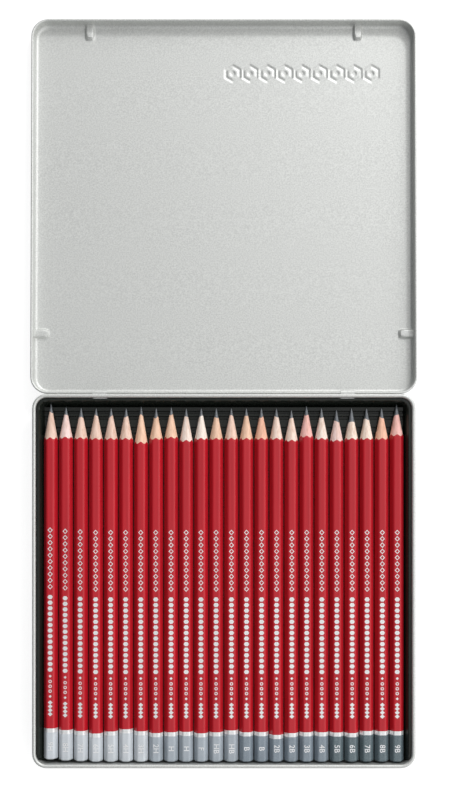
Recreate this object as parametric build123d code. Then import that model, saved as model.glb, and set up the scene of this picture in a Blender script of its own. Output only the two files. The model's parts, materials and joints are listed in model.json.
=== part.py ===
"""Graphite pencil tin, lying open: a drawn tinplate pan and lid joined by two lanced hinge tabs,
a black thermoformed tray, and twenty-four sharpened hexagonal pencils.

Millimetres. +Z is up, +X runs along the hinge, and +Y points from the pan to the open lid.
The origin is on the table, under the middle of the open tin.
"""

import math
import os

from build123d import *

# Tinplate pan: outer sizes are taken over the rolled rim.
PAN_WIDTH = 188.8
PAN_LENGTH = 184.3
PAN_HEIGHT = 14.0
PAN_CORNER = 7.2
PAN_BEND = 2.0
PAN_SHEET = 0.28
PAN_RIM = 1.9

# Lid: a shallower shell that laps over the rim of the pan.
LID_DEPTH = 6.0
LID_LAP = 4.0
LID_BEND = 2.0
LID_SHEET = 0.28
LID_CURL = 1.2
LID_CLEARANCE = 0.2

# Stops pressed in the lid, which land on the rim of the pan.
STOP_WIDTH = 5.5
STOP_REACH = 7.8
STOP_EDGE = 0.6
STOP_CLEARANCE = 0.05
FRONT_STOP_OFFSET = 66.0
SIDE_STOP_FROM_HINGE = 29.5

# Hinge tabs, lanced out of the rear wall of the pan and hooked round the curled edge of the lid.
TAB_OFFSET = 61.3
TAB_WIDTH = 7.0
TAB_SHEET = 0.4
TAB_CLEARANCE = 0.15
TAB_WRAP_END = 215.0
WINDOW_SIDE_GAP = 2.0
WINDOW_HEIGHT = 3.2

# Pencils.
PENCIL_COUNT = 24
PENCIL_PITCH = 7.44
PENCIL_LENGTH = 175.0
PENCIL_FLATS = 6.4
PENCIL_CORNER = 0.4
PENCIL_DROP = 1.8
BUTT_GAP = 0.5
BUTT_EDGE = 0.8
POINT_LENGTH = 15.4
POINT_BLUNT = 0.18
HARD_LEAD = 2.0
SOFT_LEAD = 2.5
FIRST_SOFT_PENCIL = 20

# Sharpening leaves some pencils longer or shorter, and a few lie away from the end of the pan.
LONGER_BY = {1: 1.0, 7: 0.8, 9: 0.6, 17: -0.9, 18: 1.1, 20: -0.9, 24: 1.8}
POINT_LONGER_BY = {1: 2.0, 7: 2.8, 10: 1.0}
PUSHED_BY = {1: 1.2, 2: 0.6, 3: 0.3}

# Thermoformed tray.
TRAY_SHEET = 0.6
TRAY_CLEARANCE = 0.3
TRAY_FLANGE = 1.6
TRAY_DROP = 1.0
TRAY_WALL_SLANT = 1.0
CHANNEL_DEPTH = 2.2
CHANNEL_CLEARANCE = 0.15
BAY_FLOOR_DROP = 0.3

# Steps across the bay under the points: distance from the rear wall of the pan to the start
# and the end of each step, and its height above the channel floor.
BAY_LENGTH = 18.1
BAY_STEPS = ((4.1, 6.3, 1.6), (7.5, 8.8, 1.2), (10.2, 14.2, 0.5), (15.7, 17.1, 0.0))

# Sides of the polygons that stand for small round sections.
ROLL_SIDES = 12
LEAD_SIDES = 8
POINT_SIDES = 18

# A straight cut across a corner that just touches a round of the same centre.
CORNER_CUT = 2 - math.sqrt(2)

# Derived places.
rim_radius = PAN_RIM / 2
curl_radius = LID_CURL / 2
rim_overhang = PAN_RIM - PAN_SHEET
axis_height = PAN_HEIGHT - LID_LAP
axis_offset = LID_CLEARANCE + curl_radius
lid_inner_width = PAN_WIDTH + 2 * LID_CLEARANCE
lid_inner_length = PAN_LENGTH + 2 * LID_CLEARANCE
lid_inner_corner = PAN_CORNER + LID_CLEARANCE

# The open lid leans back until the far bend of its panel meets the table.
bend_reach = axis_offset - LID_CLEARANCE + lid_inner_length + LID_SHEET - LID_BEND
bend_drop = LID_DEPTH - LID_BEND
lean = math.asin((axis_height - LID_BEND) / math.hypot(bend_reach, bend_drop))
lean -= math.atan2(bend_drop, bend_reach)
lid_angle = 180 + math.degrees(lean)

# The rim of the pan at the hinge is set so that the open tin is centred on the origin.
curl_reach = curl_radius + lid_inner_length + curl_radius
lid_reach = axis_offset + curl_reach * math.cos(lean) + curl_radius
rear_y = (PAN_LENGTH - lid_reach) / 2
axis_y = rear_y + axis_offset
pan_centre_y = rear_y - PAN_LENGTH / 2
rear_inside_y = rear_y - PAN_RIM
front_inside_y = rear_y - PAN_LENGTH + PAN_RIM

hex_side = PENCIL_FLATS / math.sqrt(3)
channel_floor = PAN_HEIGHT - PENCIL_DROP - PENCIL_FLATS
ridge_height = channel_floor + CHANNEL_DEPTH
pencil_axis_height = channel_floor + PENCIL_FLATS / 2
tray_top = PAN_HEIGHT - TRAY_DROP
tray_half_width = PAN_WIDTH / 2 - PAN_RIM - TRAY_CLEARANCE
tray_rear_y = rear_inside_y - TRAY_CLEARANCE
tray_front_y = front_inside_y + BUTT_GAP
bay_front_y = rear_inside_y - BAY_LENGTH


def even_polygon(radius, sides):
    """Regular polygon of the same width as a circle, with a flat side facing along +X."""
    across = radius / math.cos(math.pi / sides)
    return Rot(Z=180 / sides) * RegularPolygon(across, sides)


def rounded_block(width, length, corner, low, high, centre_y):
    """Upright block with a rounded rectangular outline."""
    outline = Plane.XY.offset(low) * Pos(0, centre_y) * RectangleRounded(width, length, corner)
    return extrude(outline, high - low)


def drawn_forms(width, length, corner, depth, bend, sheet):
    """Outside and inside of an open box drawn from sheet, floor at z 0 and open at z depth."""
    outside = rounded_block(width, length, corner, 0, depth, 0)
    outside = fillet(outside.faces().sort_by(Axis.Z)[0].edges(), bend)
    inner = (width - 2 * sheet, length - 2 * sheet, corner - sheet)
    inside = rounded_block(*inner, sheet, depth, 0)
    inside = chamfer(inside.faces().sort_by(Axis.Z)[0].edges(), (bend - sheet) * CORNER_CUT)
    return outside, inside


def rolled_edge(width, length, corner, radius, height, centre_y):
    """Sheet edge rolled outward and closed tight into a bead; the outer sizes are over the bead."""
    path = Plane.XY.offset(height) * Pos(0, centre_y) * RectangleRounded(
        width - 2 * radius, length - 2 * radius, corner - radius
    ).wire()
    start = Plane(origin=path @ 0, x_dir=path % 0, z_dir=(0, 0, 1))
    section_plane = Plane(origin=start.origin, x_dir=start.y_dir, z_dir=start.x_dir)
    return sweep(section_plane * even_polygon(radius, ROLL_SIDES), path=path)


def make_pan():
    """Pan with its rolled rim and the two hinge tabs lanced from the rear wall."""
    wall_width = PAN_WIDTH - 2 * rim_overhang
    wall_length = PAN_LENGTH - 2 * rim_overhang
    wall_corner = PAN_CORNER - rim_overhang
    depth = PAN_HEIGHT - rim_radius
    outside, inside = drawn_forms(wall_width, wall_length, wall_corner, depth, PAN_BEND, PAN_SHEET)
    pan = Pos(0, pan_centre_y) * (outside - inside)
    pan += rolled_edge(PAN_WIDTH, PAN_LENGTH, PAN_CORNER, rim_radius, depth, pan_centre_y)
    for side in (-1, 1):
        pan -= lance_window(side * TAB_OFFSET)
        pan += hinge_tab(side * TAB_OFFSET)
    return pan


def lance_window(x):
    """The hole that a tab leaves in the rear wall, as long as the tab is when it is flat."""
    hook_radius = curl_radius + TAB_CLEARANCE + TAB_SHEET / 2
    leaf = axis_offset + rim_overhang
    flat_length = leaf + hook_radius * math.radians(TAB_WRAP_END)
    top = axis_height + curl_radius + TAB_CLEARANCE
    height = min(flat_length, top - PAN_BEND - PAN_SHEET)
    return Pos(x, rear_y - rim_overhang, top - height / 2) * Box(TAB_WIDTH, 4 * PAN_SHEET, height)


def hinge_tab(x):
    """Leaf out of the rear wall that hooks over the curled edge of the lid and back under it."""
    inner = curl_radius + TAB_CLEARANCE
    outer = inner + TAB_SHEET
    leaf_start = -(axis_offset + rim_overhang + PAN_SHEET)
    leaf = Pos(leaf_start / 2, (inner + outer) / 2) * Rectangle(-leaf_start, TAB_SHEET)
    reach = 2 * outer
    first = math.radians(90 - TAB_WRAP_END)
    wedge = Polygon(
        (0, 0),
        (reach * math.cos(first), reach * math.sin(first)),
        (-reach, -reach / 2),
        (-reach, reach),
        (0, reach),
        align=None,
    )
    hook = Circle(outer) - Circle(inner) - wedge
    profile = Plane.YZ.offset(x - TAB_WIDTH / 2) * Pos(axis_y, axis_height) * (hook + leaf)
    return extrude(profile, TAB_WIDTH)


def make_closed_lid():
    """Lid in its closed place over the pan, with its stops and the windows for the hinge tabs."""
    outer_width = lid_inner_width + 2 * LID_SHEET
    outer_length = lid_inner_length + 2 * LID_SHEET
    outer_corner = lid_inner_corner + LID_SHEET
    outside, inside = drawn_forms(
        outer_width, outer_length, outer_corner, LID_DEPTH, LID_BEND, LID_SHEET
    )
    for place in stop_places():
        inside -= place * stop_form(0)
    shell = outside - inside
    for place in stop_places():
        shell -= place * stop_form(LID_SHEET)
    lid = Pos(0, pan_centre_y, axis_height + LID_DEPTH) * Rot(Y=180) * shell
    lid += rolled_edge(
        lid_inner_width + 2 * LID_CURL,
        lid_inner_length + 2 * LID_CURL,
        lid_inner_corner + LID_CURL,
        curl_radius,
        axis_height,
        pan_centre_y,
    )
    for side in (-1, 1):
        lid -= Pos(side * TAB_OFFSET, rear_y + LID_CLEARANCE, axis_height + WINDOW_HEIGHT / 2) * Box(
            TAB_WIDTH + 2 * WINDOW_SIDE_GAP, 4 * LID_SHEET, WINDOW_HEIGHT
        )
    return lid


def stop_places():
    """Roots of the stops in the lid with its panel down: local +X points inward from the wall."""
    front = -lid_inner_length / 2
    side = lid_inner_width / 2
    side_y = lid_inner_length / 2 - SIDE_STOP_FROM_HINGE
    return [
        Pos(-FRONT_STOP_OFFSET, front) * Rot(Z=90),
        Pos(FRONT_STOP_OFFSET, front) * Rot(Z=90),
        Pos(-side, side_y),
        Pos(side, side_y) * Rot(Z=180),
    ]


def stop_form(inset):
    """Pressed stop, rising from z 0; the inset gives the hollow on its outer side."""
    height = LID_DEPTH - LID_LAP - STOP_CLEARANCE - inset
    radius = STOP_WIDTH / 2 - inset
    straight = STOP_REACH - STOP_WIDTH / 2
    root = inset - LID_SHEET / 2
    body = Pos((straight + root) / 2, 0, height / 2) * Box(straight - root, 2 * radius, height)
    body += Pos(straight, 0, height / 2) * Cylinder(radius, height)
    rounded = body.faces().sort_by(Axis.Z)[-1].edges().filter_by(lambda e: e.center().X > root + 0.01)
    return chamfer(rounded, STOP_EDGE)


def make_open_lid():
    """The lid turned about the axis of its curled rear edge until it lies on the table."""
    about_axis = Pos(0, axis_y, axis_height) * Rot(X=-lid_angle) * Pos(0, -axis_y, -axis_height)
    return about_axis * make_closed_lid()


def channel_line(drop):
    """Points across the tray, left to right, along the channels; drop lowers the whole line."""
    flank_gap = CHANNEL_CLEARANCE / math.cos(math.radians(30))
    half_floor = hex_side / 2 + flank_gap
    half_mouth = half_floor + CHANNEL_DEPTH * math.tan(math.radians(30))
    points = []
    for index in range(PENCIL_COUNT):
        x = pencil_x(index)
        points += [
            (x - half_mouth, ridge_height - drop),
            (x - half_floor, channel_floor - drop),
            (x + half_floor, channel_floor - drop),
            (x + half_mouth, ridge_height - drop),
        ]
    return points


def pencil_x(index):
    return (index - (PENCIL_COUNT - 1) / 2) * PENCIL_PITCH


def across_prism(points, front_y, back_y):
    """Closed outline in X and Z, extruded along Y between the two given places."""
    face = Plane.XZ.offset(-back_y) * Polygon(*points, align=None)
    return extrude(face, back_y - front_y, dir=(0, -1, 0))


def along_prism(points, half_width):
    """Closed outline in Y and Z, extruded along X across the given width."""
    face = Plane.YZ.offset(-half_width) * Polygon(*points, align=None)
    return extrude(face, 2 * half_width, dir=(1, 0, 0))


def bay_line(drop):
    """Points along the bay, from the rear wall of the tray to the channels."""
    floor = channel_floor - BAY_FLOOR_DROP - drop
    foot = rear_inside_y - TRAY_CLEARANCE - TRAY_FLANGE - TRAY_WALL_SLANT
    points = [(foot, floor)]
    for start, end, height in BAY_STEPS:
        top = channel_floor + height - drop
        points += [
            (rear_inside_y - start, floor),
            (rear_inside_y - start, top),
            (rear_inside_y - end, top),
            (rear_inside_y - end, floor),
        ]
    points.append((bay_front_y, floor))
    return points


def make_tray():
    """Thermoformed tray: flange on three sides, a channel for each pencil, and a stepped bay."""
    half_opening = tray_half_width - TRAY_FLANGE
    above = tray_top + 1
    wall_foot = half_opening - TRAY_WALL_SLANT
    corner = PAN_CORNER - PAN_RIM - TRAY_CLEARANCE
    length = tray_rear_y - tray_front_y
    centre_y = (tray_rear_y + tray_front_y) / 2
    tray = rounded_block(2 * tray_half_width, length, corner, PAN_SHEET, tray_top, centre_y)
    tray = chamfer(tray.faces().sort_by(Axis.Z)[0].edges(), PAN_BEND - PAN_SHEET)

    # Room above the channels and the flared side walls.
    slope = TRAY_WALL_SLANT / (tray_top - ridge_height)
    flare = half_opening + slope * (above - tray_top)
    channels = [(-flare, above), (-wall_foot, ridge_height), *channel_line(0)]
    channels += [(wall_foot, ridge_height), (flare, above)]
    tray -= across_prism(channels, tray_front_y - 1, bay_front_y)

    # Room above the stepped bay, with rounded rear corners.
    bay_floor = channel_floor - BAY_FLOOR_DROP
    bay_slope = TRAY_WALL_SLANT / (tray_top - bay_floor)
    rear_opening = tray_rear_y - TRAY_FLANGE
    rear_flare = rear_opening + bay_slope * (above - tray_top)
    bay_side = half_opening + bay_slope * (above - tray_top)
    bay = [(rear_flare, above), *bay_line(0), (bay_front_y, above)]
    box = [(-bay_side, above), (-wall_foot, bay_floor), (wall_foot, bay_floor), (bay_side, above)]
    bay_block = across_prism(box, bay_front_y, rear_flare + 1)
    tray -= bay_block & along_prism(bay, bay_side + 1)

    # Hollow underside, one sheet below the formed surface.
    below = PAN_SHEET - 1
    under = [(-wall_foot, below), (-wall_foot, ridge_height - TRAY_SHEET), *channel_line(TRAY_SHEET)]
    under += [(wall_foot, ridge_height - TRAY_SHEET), (wall_foot, below)]
    tray -= across_prism(under, tray_front_y + TRAY_SHEET, bay_front_y - TRAY_SHEET)
    under_bay = [(rear_opening - TRAY_WALL_SLANT, below), *bay_line(TRAY_SHEET), (bay_front_y, below)]
    tray -= along_prism(under_bay, wall_foot)

    # Hollow rails under the flange, at both sides and at the rear.
    foot = wall_foot + TRAY_SHEET
    mouth = half_opening + TRAY_SHEET
    skirt = tray_half_width - TRAY_SHEET
    roof = tray_top - TRAY_SHEET
    rail_rear_y = tray_rear_y - corner
    rail = [(foot, below), (skirt, below), (skirt, roof), (mouth, roof)]
    for side in (-1, 1):
        outline = [(side * x, z) for x, z in rail]
        tray -= across_prism(outline, tray_front_y + TRAY_SHEET, rail_rear_y)
    shift = tray_rear_y - tray_half_width
    rear_rail = [(y + shift, z) for y, z in rail]
    tray -= along_prism(rear_rail, tray_half_width - corner)
    return tray


def point_cone(pencil_length, point_length):
    """Everything inside the sharpened point of a pencil that stands on z 0, tip at the top."""
    slope = PENCIL_FLATS / 2 / point_length
    tip = Pos(0, 0, pencil_length) * even_polygon(POINT_BLUNT, POINT_SIDES)
    foot = even_polygon(POINT_BLUNT + slope * pencil_length, POINT_SIDES)
    return loft([foot, tip], ruled=True)


def make_pencil(index):
    """Casing and lead of one pencil, lying in its channel with a flat upward."""
    number = index + 1
    length = PENCIL_LENGTH + LONGER_BY.get(number, 0)
    point_length = POINT_LENGTH + POINT_LONGER_BY.get(number, 0)
    lead_radius = (SOFT_LEAD if number >= FIRST_SOFT_PENCIL else HARD_LEAD) / 2
    outline = Rot(Z=90) * even_polygon(PENCIL_FLATS / 2, 6)
    outline = chamfer(outline.vertices(), PENCIL_CORNER)
    bar = extrude(outline, length)
    bar = chamfer(bar.faces().sort_by(Axis.Z)[0].edges(), BUTT_EDGE)
    cone = point_cone(length, point_length)
    rod = extrude(even_polygon(lead_radius, LEAD_SIDES), length)
    casing = (bar & cone) - rod
    lead = rod & cone
    butt_y = front_inside_y + BUTT_GAP + PUSHED_BY.get(number, 0)
    lying = Pos(pencil_x(index), butt_y, pencil_axis_height) * Rot(X=-90)
    return lying * casing, lying * lead


def save(shape, name):
    export_step(shape, f"parts/{name}.step")


def main():
    os.makedirs("parts", exist_ok=True)
    save(make_pan(), "base_pan")
    save(make_open_lid(), "lid")
    save(make_tray(), "pencil_tray")
    for index in range(PENCIL_COUNT):
        casing, lead = make_pencil(index)
        save(casing, f"pencil_{index + 1:02d}_casing")
        save(lead, f"pencil_{index + 1:02d}_lead")
    print("hinge axis", 0, round(axis_y, 3), round(axis_height, 3), "opens", round(lid_angle, 3))


main()
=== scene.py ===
"""Looks of an open graphite pencil tin: satin tinplate, a black tray and lacquered pencils.

Metres. +X runs along the hinge, +Y from the pan to the open lid, +Z up.
"""

import json
import math

import bmesh
import bpy
import numpy as np
from bpy.props import FloatProperty, FloatVectorProperty, IntProperty, PointerProperty
from bpy.types import Operator, Panel, PropertyGroup
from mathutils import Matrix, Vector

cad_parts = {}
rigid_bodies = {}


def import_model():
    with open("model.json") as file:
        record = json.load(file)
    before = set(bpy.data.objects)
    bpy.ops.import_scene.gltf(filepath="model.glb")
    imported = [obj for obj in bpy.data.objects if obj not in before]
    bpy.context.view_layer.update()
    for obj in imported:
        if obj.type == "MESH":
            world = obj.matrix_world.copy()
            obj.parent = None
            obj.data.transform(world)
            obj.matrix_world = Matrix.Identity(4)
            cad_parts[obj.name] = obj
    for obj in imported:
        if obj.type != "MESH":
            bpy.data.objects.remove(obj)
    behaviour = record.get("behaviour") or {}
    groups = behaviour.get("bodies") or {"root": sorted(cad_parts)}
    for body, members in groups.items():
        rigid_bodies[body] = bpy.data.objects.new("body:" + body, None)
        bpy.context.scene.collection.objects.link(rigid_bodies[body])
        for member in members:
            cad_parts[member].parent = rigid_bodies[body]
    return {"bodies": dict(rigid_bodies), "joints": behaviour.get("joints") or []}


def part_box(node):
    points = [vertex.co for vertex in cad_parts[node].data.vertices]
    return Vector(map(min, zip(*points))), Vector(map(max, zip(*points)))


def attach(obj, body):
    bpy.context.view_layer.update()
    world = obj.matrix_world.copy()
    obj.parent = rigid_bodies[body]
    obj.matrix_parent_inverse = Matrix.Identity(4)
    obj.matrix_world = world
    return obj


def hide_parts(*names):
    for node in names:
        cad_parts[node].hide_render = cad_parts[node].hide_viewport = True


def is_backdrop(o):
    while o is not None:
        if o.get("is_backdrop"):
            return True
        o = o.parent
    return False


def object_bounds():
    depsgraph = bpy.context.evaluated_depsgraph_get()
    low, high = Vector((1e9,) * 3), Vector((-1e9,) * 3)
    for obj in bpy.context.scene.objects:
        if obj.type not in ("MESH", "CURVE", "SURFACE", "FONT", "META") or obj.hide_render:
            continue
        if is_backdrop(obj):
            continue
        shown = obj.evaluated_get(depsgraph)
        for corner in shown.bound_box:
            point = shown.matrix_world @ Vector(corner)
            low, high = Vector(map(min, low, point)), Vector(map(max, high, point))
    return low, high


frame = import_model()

bl_info = {
    "name": "Graphite Pencil Tin",
    "version": (1, 0, 0),
    "blender": (4, 5, 0),
    "location": "View3D > Sidebar > Pencil Tin",
    "description": "Dresses the solids of a pencil tin: drawn tinplate, formed tray, sharpened pencils",
    "category": "Object",
}

MM = 0.001
WELD = 1e-7
CREASE = math.radians(38)

# Points in a bend, in a rolled edge, in the hook of a tab, over a pencil's flat, along its wood and
# its lead, round the nose of the lead and over the dome of its butt.
ROUND_STEPS = 9
ROLL_STEPS = 29
HOOK_STEPS = 26
FLAT_STEPS = 13
WOOD_STEPS = 15
LEAD_STEPS = 7
NOSE_STEPS = 6
DOME_STEPS = 12

# Widest steps of the grids, and close ones at the lid's stops, at its walls and at its border.
PAN_STEP = 8 * MM
LID_STEP = 7 * MM
TRAY_STEP = 12 * MM
STOP_STEP = 0.33 * MM
WALL_STEP = 0.45 * MM
MOTIF_STEP = 0.42 * MM

# How far the close lines reach: either way from the middle of a stop, beside a stop, past its end,
# and across and along from the middle of an embossed hexagon, as shares of its size.
STOP_SPAN = 3.3 * MM
STOP_BESIDE = 0.6 * MM
STOP_PAST = 1.4 * MM
MOTIF_REACH = (0.7, 0.65)

# How far behind its seen edge a piece of a pencil closes to the axis, and where the lacquer's rows
# lie level.
WOOD_FRONT = 0.6 * MM
WOOD_BACK = 2 * MM
LEAD_BACK = 1.2 * MM
LACQUER_FRONT = 3 * MM
LACQUER_LEVEL = 1 * MM

# The solids as they were packed.
cad_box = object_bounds()
joints = {joint["name"]: joint for joint in frame["joints"]}
hinge = joints["lid_hinge"]
HINGE_Y, HINGE_Z = hinge["pos_m"][1:]
OPEN_TURN = math.radians(min(hinge["range_deg"]))
PAN_LOW, PAN_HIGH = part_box("base_pan")
TRAY_LOW, TRAY_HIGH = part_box("pencil_tray")
PENCILS = sorted(name for name in frame["bodies"] if name.startswith("pencil_"))

# Hardness grades, from the first pencil to the last.
GRADES = "9H 8H 7H 6H 5H 4H 3H 2H H H F HB HB B B 2B 2B 3B 4B 5B 6B 7B 8B 9B".split()

# Wood of each pencil, from the first to the last, by the letter of its tone. From the fourteenth
# pencil on, lighter tones are picked, light tan and rose among them: this is painted light that
# makes up for the shade on the side of their points that the camera sees.
WOOD_NAMES = {"t": "tan", "p": "pink", "o": "orange", "c": "cream", "r": "rust", "l": "light", "s": "rose"}
WOODS = "tpttttoooccotorllscpllrs"

# How far the foil ring of each pencil lies from its place towards the point, in millimetres.
RING_SHIFTS = (
    0.7, 0.5, 0.3, -0.6, 0.4, 1.5, 0.5, -0.4, 0.0, 0.2, -0.5, 0.0,
    0.9, 0.0, 0.1, -1.3, -0.4, 0.0, 0.0, -0.1, -0.4, 0.6, 0.5, 0.5,
)

# Leads that the knife bared further or less far than the rest, as shares of their radius.
LEAD_SHARES = {1: 0.85, 3: 1.2, 4: 0.9, 21: 1.35, 23: 0.85}

# Steps across the bay under the points, in millimetres: distance from the rear wall of the pan to
# the start and the end of each step, and its height above the channel floor.
BAY_STEPS = ((4.1, 6.3, 1.6), (7.5, 8.8, 1.2), (10.2, 14.2, 0.5), (15.7, 17.1, 0.0))

# Width over height of a channel's side. A bend of the tray is the mean of three slopes a tap apart.
CHANNEL_SLOPE = math.tan(math.radians(30))
CHANNEL_TAPS = np.array([-0.16, 0, 0.16]) * MM
WALL_TAPS = (-0.15, 0, 0.15)

# Grid lines over a wall of the tray, a step in its bay and the bay's end, as shares of their width.
WALL_SHARES = np.array([-0.3, -0.15, 0, 0.15, 0.3, 0.6, 0.85, 1, 1.15, 1.3])
STEP_SHARES = np.array([-0.75, -0.5, -0.25, 0, 0.25, 0.5, 0.75])
END_SHARES = np.array([-0.75, -0.5, 0, 0.5, 0.75])

# Last pencil that has each tone of dipped end.
DIP_TONES = ((7, "dip_hard"), (13, "dip_middle"), (19, "dip_soft"), (24, "dip_softest"))

# Foil border on a pencil, in millimetres from the butt: sides of a figure, place of the first and
# where they end, pitch, half its size across and along, and its hole as a share of that.
FIGURES = (
    (4, 113.6, 84.5, 3.1, 1.25, 1.35, 0.62),
    (6, 80.6, 43.5, 2.75, 1.3, 1.18, 0.0),
    (4, 41.6, 41.0, 3.0, 0.75, 0.75, 0.0),
    (12, 39.0, 33.0, 2.4, 0.85, 0.85, 0.5),
    (4, 31.6, 31.0, 3.0, 0.75, 0.75, 0.0),
    (4, 28.6, 22.0, 1.9, 1.2, 1.1, 0.0),
)


def length(name, description, millimetres):
    """A size that a user may change, given in millimetres and kept in metres."""
    return FloatProperty(
        name=name, description=description, default=millimetres * MM, unit="LENGTH", precision=5
    )


def number(name, description, value):
    """A plain number that a user may change."""
    return FloatProperty(name=name, description=description, default=value)


def colour(name, description, value):
    """A colour that a user may change, in linear red, green and blue."""
    return FloatVectorProperty(
        name=name, description=description, default=value, subtype="COLOR", size=3, min=0, max=1
    )


class TinSizes(PropertyGroup):
    """Sizes of the pan and the lid."""

    sheet: length("Sheet", "Thickness of the tinplate", 0.28)
    bend: length("Bend", "Outer radius between the floor and the walls", 2.0)
    pan_corner: length("Pan corner", "Corner radius over the rolled rim of the pan", 7.2)
    pan_rim: length("Pan rim", "Width of the rolled rim of the pan", 1.9)
    lid_depth: length("Lid depth", "Outer depth of the lid up to the middle of its curled edge", 6.0)
    lid_curl: length("Lid curl", "Width of the curled edge of the lid", 1.2)
    lid_clearance: length("Lid clearance", "Gap between the rim of the pan and the closed lid", 0.2)
    tab_offset: length("Tab offset", "Distance of each hinge tab from the middle", 61.3)
    tab_width: length("Tab width", "Width of a hinge tab", 7.0)
    tab_sheet: length("Tab sheet", "Thickness of a hinge tab", 0.4)
    tab_clearance: length("Tab clearance", "Gap between a hinge tab and the curled edge in it", 0.15)
    tab_turn: number("Tab turn", "How far a tab goes round the curled edge, in degrees", 215)
    pan_window: length("Pan window", "Height of the hole that a tab leaves in the pan", 5.98)
    lid_window: length("Lid window", "Height of the hole in the lid for a tab", 3.2)
    lid_window_under: length("Lid window under", "From the middle of the curl to that hole", 0.69)
    lid_window_gap: length("Lid window gap", "Room beside a tab in the lid", 2.0)
    stop_width: length("Stop width", "Width of a pressed stop", 5.5)
    stop_reach: length("Stop reach", "How far a stop reaches in from the wall", 7.8)
    stop_height: length("Stop height", "Height of a stop over the outer face of the lid", 1.95)
    stop_slope: length("Stop slope", "Width of the sloping side of a stop", 1.3)
    stop_offset: length("Stop offset", "Distance of the far stops from the middle", 67.2)
    stop_from_hinge: length("Stop from hinge", "Distance of the side stops from the hinge wall", 29.5)
    motif_depth: length("Motif depth", "Depth of the embossed border of hexagons", 0.34)
    motif_size: length("Motif size", "Width over the flats of an embossed hexagon", 8.0)
    motif_stroke: length("Motif stroke", "Width of an embossed line", 1.25)
    motif_pitch: length("Motif pitch", "Distance from one hexagon to the next", 8.7)
    motif_dot: length("Motif dot", "Radius of the dot in a hexagon", 1.12)
    motif_soft: length("Motif edge softness", "Width over which an embossed line rises", 0.5)
    motif_count: IntProperty(name="Motif count", description="Number of hexagons", default=9)
    motif_x: length("Motif across", "Middle of the embossed border, across the lid", 39.3)
    motif_edge: length("Motif from edge", "Middle of the border, from the far edge of the lid", 24.4)


class TraySizes(PropertyGroup):
    """Sizes of the thermoformed tray."""

    sheet: length("Sheet", "Thickness of the plastic", 0.6)
    flange: length("Flange", "Width of the flat flange", 1.6)
    corner: length("Corner", "Outer corner radius", 5.0)
    inner_corner: length("Inner corner", "Corner radius of the opening", 4.0)
    slant: length("Slant", "How far the walls lean over their height", 1.0)
    channel_floor: length("Channel floor", "Height of the floor of a channel", 5.8)
    channel_depth: length("Channel depth", "Depth of a channel", 2.2)
    channel_half: length("Channel half width", "Half the width of the floor of a channel", 2.021)
    bay_length: length("Bay length", "From the rear wall of the pan to the channels", 18.1)
    bay_drop: length("Bay drop", "How far the bay floor lies under the channels", 0.3)
    step_edge: length("Step edge", "Width over which a step in the bay rises", 0.34)
    edge: length("Edge", "Radius along the outer edge of the flange", 0.3)
    pan_gap: length("Pan gap", "Gap between the tray and the rear wall of the pan", 0.3)


class PencilSizes(PropertyGroup):
    """Sizes of the pencils, apart from those read from the solids."""

    edge: length("Edge", "Radius along the six edges of a pencil", 1.4)
    taper: number("Taper", "Slope of the point over that of the solid", 0.95)
    flare: number("Flare", "How much steeper the cut is in the lacquer", 1.9)
    blunt: length("Blunt tip", "Radius of the tip of the lead", 0.18)
    nose: number("Nose", "Height of the tip of the lead over its radius", 0.9)
    roll: number("Roll", "Most that a pencil is rolled, in degrees", 1.8)
    paint: length("Paint", "Thickness of the lacquer where the point cuts it", 0.05)
    dip_length: length("Dip length", "From the butt to the foil ring", 13.1)
    ring_width: length("Ring width", "Width of the foil ring", 2.0)
    dome: length("Dome", "Height of the rounded butt", 1.25)
    enamel: length("Enamel", "Thickness of the enamel on the dipped end", 0.03)
    enamel_overlap: length("Enamel overlap", "How far the enamel reaches under the ring", 0.1)
    enamel_lip: length("Enamel lip", "Width of the thin edge of the enamel", 0.15)
    ring_sunk: length("Ring sunk", "How deep the edges of the ring go into the lacquer", 0.1)
    stamp: length("Stamp", "Thickness of the foil and the print on a flat", 0.02)
    grade_lift: length("Grade lift", "From a flat to the middle of the grade's thickness", 0.036)
    grade_bold: length("Grade boldness", "How much the letters of a grade are thickened", 0.02)
    grade_cap: number("Grade capitals", "Height of a capital over the size of its letters", 0.72)
    grade_height: length("Grade height", "Height of the letters of a grade", 2.7)
    grade_place: length("Grade place", "From the butt to the middle of the grade", 7.0)


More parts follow.
